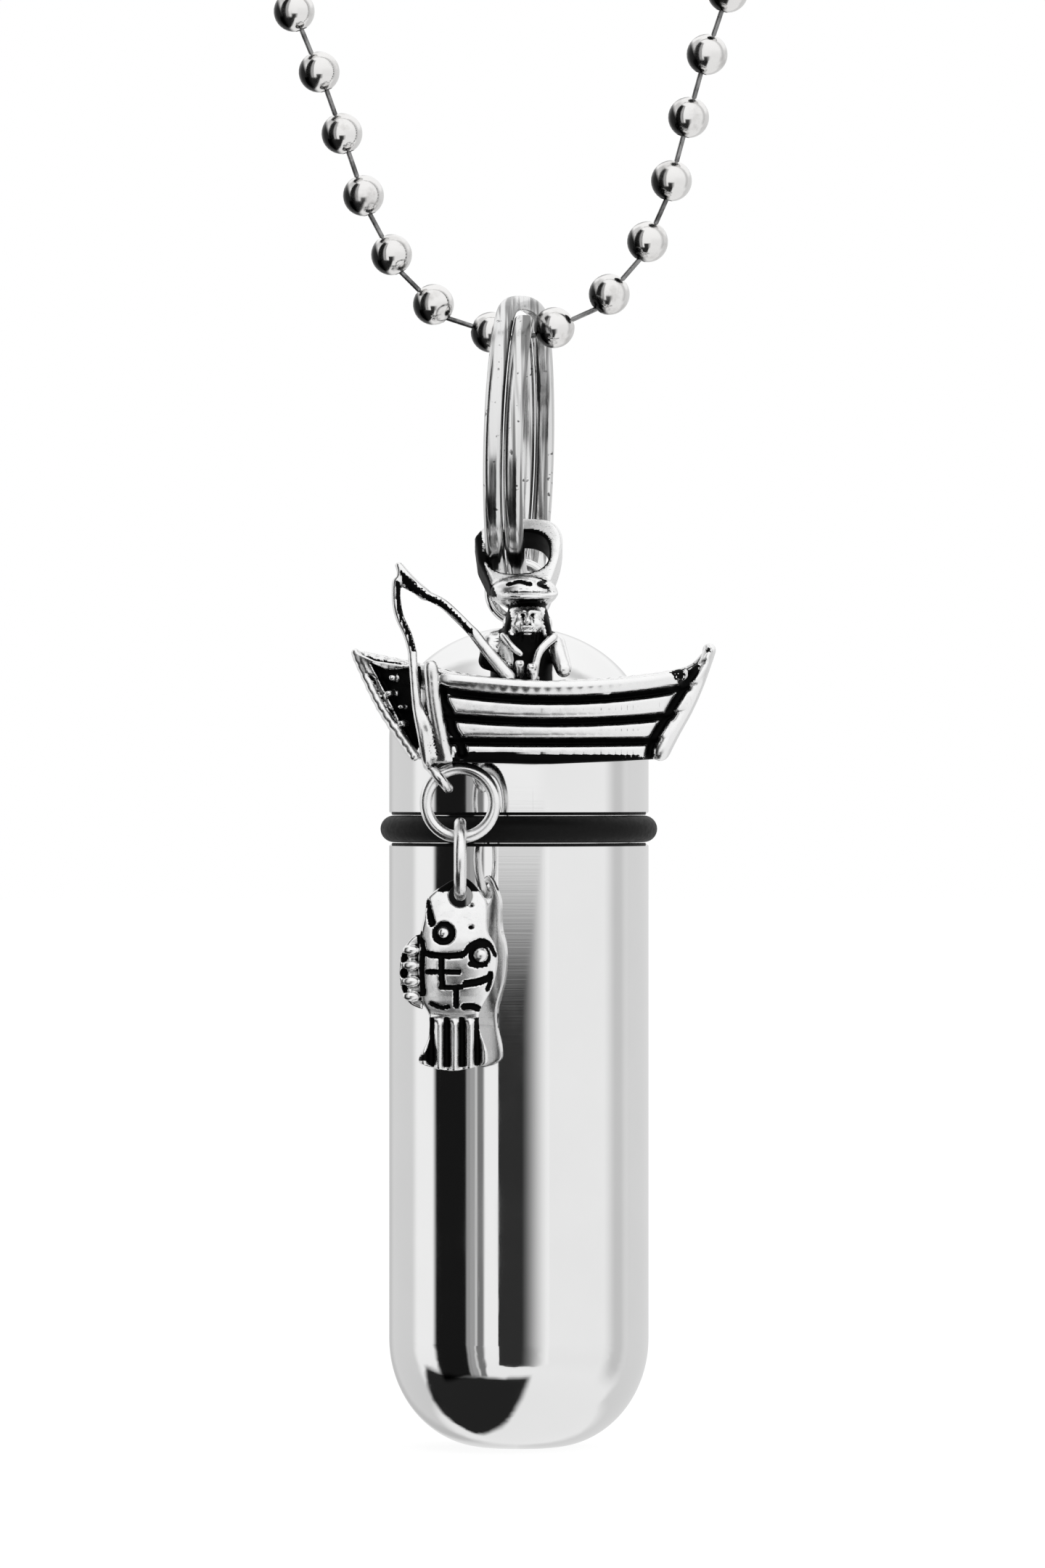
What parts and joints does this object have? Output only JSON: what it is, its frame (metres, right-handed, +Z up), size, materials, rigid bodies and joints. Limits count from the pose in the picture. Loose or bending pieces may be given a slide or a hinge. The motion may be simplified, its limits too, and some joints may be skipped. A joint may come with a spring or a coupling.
{
  "type": "keepsake capsule pendant",
  "caption": "Screw-top metal capsule with rubber seal on a split ring and ball chain, carrying a cast angler-in-boat charm with a hanging fish.",
  "frame": {"origin": "centre of the capsule's flat bottom", "axes": "+Z up along the capsule and the hanging chain, -Y the front that the charm hangs on, +X to the viewer's right"},
  "size_m": [0.0264, 0.0178, 0.1046],
  "materials": {
    "polished_steel": "polished",
    "ring_steel": "polished",
    "chain_nickel": "polished",
    "antique_silver": "satin",
    "o_ring_rubber": "matte"
  },
  "bodies": {
    "ring": {"split_ring": "ring_steel"},
    "cap": {"capsule_cap": "polished_steel", "cap_eyelet": "polished_steel"},
    "o_ring": {"cap_o_ring": "o_ring_rubber"},
    "barrel": {"capsule_barrel": "polished_steel"},
    "chain_seat": {"chain_seat_beads": "chain_nickel", "chain_seat_links": "chain_nickel"},
    "chain_left_1": {"chain_beads_left_1": "chain_nickel", "chain_links_left_1": "chain_nickel"},
    "chain_left_2": {"chain_beads_left_2": "chain_nickel", "chain_links_left_2": "chain_nickel"},
    "chain_left_3": {"chain_beads_left_3": "chain_nickel", "chain_links_left_3": "chain_nickel"},
    "chain_left_4": {"chain_beads_left_4": "chain_nickel", "chain_links_left_4": "chain_nickel"},
    "clasp": {"chain_connector": "chain_nickel", "chain_end_beads": "chain_nickel"},
    "chain_right_1": {"chain_beads_right_1": "chain_nickel", "chain_links_right_1": "chain_nickel"},
    "chain_right_2": {"chain_beads_right_2": "chain_nickel", "chain_links_right_2": "chain_nickel"},
    "chain_right_3": {"chain_beads_right_3": "chain_nickel", "chain_links_right_3": "chain_nickel"},
    "chain_right_4": {"chain_beads_right_4": "chain_nickel", "chain_links_right_4": "chain_nickel"},
    "charm": {"boat_charm": "antique_silver"},
    "line_ring": {"line_ring": "antique_silver"},
    "fish_link": {"fish_link": "antique_silver"},
    "fish": {"fish_charm": "antique_silver"}
  },
  "joints": [
    {"name": "chain_swing", "type": "hinge", "parent": "ring", "child": "chain_seat", "pos_m": [0.00021, -0.00149, 0.0542], "axis": [0.9945, 0, 0.1045], "range_deg": [-50, 50]},
    {"name": "chain_flex", "type": "hinge", "parent": "chain_seat", "child": "chain_left_1", "pos_m": [-0.00351, -0.00149, 0.05512], "axis": [0, 1, 0], "range_deg": [-3.87, 3.1]},
    {"name": "chain_left_2_bend", "type": "hinge", "parent": "chain_left_1", "child": "chain_left_2", "pos_m": [-0.00938, -0.00149, 0.06625], "axis": [0, 1, 0], "range_deg": [-1.7, 2.05]},
    {"name": "chain_left_3_bend", "type": "hinge", "parent": "chain_left_2", "child": "chain_left_3", "pos_m": [-0.01292, -0.00149, 0.07846], "axis": [0, 1, 0], "range_deg": [-3.69, 4.54]},
    {"name": "chain_left_4_bend", "type": "hinge", "parent": "chain_left_3", "child": "chain_left_4", "pos_m": [-0.01024, -0.00149, 0.09089], "axis": [0, 1, 0], "range_deg": [-1.7, 2.05]},
    {"name": "clasp_bend", "type": "hinge", "parent": "chain_left_4", "child": "clasp", "pos_m": [-0.00516, -0.00149, 0.1024], "axis": [0, 1, 0], "range_deg": [-4.17, 3.4]},
    {"name": "chain_right_1_bend", "type": "hinge", "parent": "chain_seat", "child": "chain_right_1", "pos_m": [0.0038, -0.00149, 0.05557], "axis": [0, 1, 0], "range_deg": [-3.4, 4.17]},
    {"name": "chain_right_2_bend", "type": "hinge", "parent": "chain_right_1", "child": "chain_right_2", "pos_m": [0.00888, -0.00149, 0.06708], "axis": [0, 1, 0], "range_deg": [-2.05, 1.7]},
    {"name": "chain_right_3_bend", "type": "hinge", "parent": "chain_right_2", "child": "chain_right_3", "pos_m": [0.01156, -0.00149, 0.07951], "axis": [0, 1, 0], "range_deg": [-4.54, 3.69]},
    {"name": "chain_right_4_bend", "type": "hinge", "parent": "chain_right_3", "child": "chain_right_4", "pos_m": [0.00802, -0.00149, 0.09172], "axis": [0, 1, 0], "range_deg": [-2.05, 1.7]},
    {"name": "capsule_swing", "type": "hinge", "parent": "ring", "child": "cap", "pos_m": [0, 0, 0.04179], "axis": [0, 1, 0], "range_deg": [-30, 30]},
    {"name": "barrel_travel", "type": "slide", "parent": "cap", "child": "o_ring", "axis": [0, 0, -1], "range_m": [0, 0.0045]},
    {"name": "barrel_turn", "type": "hinge", "parent": "o_ring", "child": "barrel", "pos_m": [0, 0, 0.0295], "axis": [0, 0, -1], "range_deg": [-1, 2161]},
    {"name": "charm_swing", "type": "hinge", "parent": "ring", "child": "charm", "pos_m": [-0.00058, -0.00564, 0.043], "axis": [-0.072, -0.8043, 0.5899], "range_deg": [-20, 20]},
    {"name": "line_ring_swing", "type": "hinge", "parent": "charm", "child": "line_ring", "pos_m": [-0.00386, -0.0088, 0.03276], "axis": [-0.766, 0, -0.6428], "range_deg": [-3, 20]},
    {"name": "fish_link_swing", "type": "hinge", "parent": "line_ring", "child": "fish_link", "pos_m": [-0.0028, -0.0088, 0.02985], "axis": [-1, 0, 0], "range_deg": [-3, 40]},
    {"name": "fish_swing", "type": "hinge", "parent": "fish_link", "child": "fish", "pos_m": [-0.0028, -0.0088, 0.0271], "axis": [0, 1, 0], "range_deg": [-30, 30]}
  ],
  "couplings": [
    {"joint": "chain_left_2_bend", "follows": "chain_flex", "ratio": -0.4528},
    {"joint": "chain_left_3_bend", "follows": "chain_flex", "ratio": -1.0944},
    {"joint": "chain_left_4_bend", "follows": "chain_flex", "ratio": -0.4528},
    {"joint": "clasp_bend", "follows": "chain_flex", "ratio": 1},
    {"joint": "chain_right_1_bend", "follows": "chain_flex", "ratio": -1},
    {"joint": "chain_right_2_bend", "follows": "chain_flex", "ratio": 0.4528},
    {"joint": "chain_right_3_bend", "follows": "chain_flex", "ratio": 1.0944},
    {"joint": "chain_right_4_bend", "follows": "chain_flex", "ratio": 0.4528},
    {"joint": "barrel_turn", "follows": "barrel_travel", "rad_per_m": 8377.6}
  ]
}
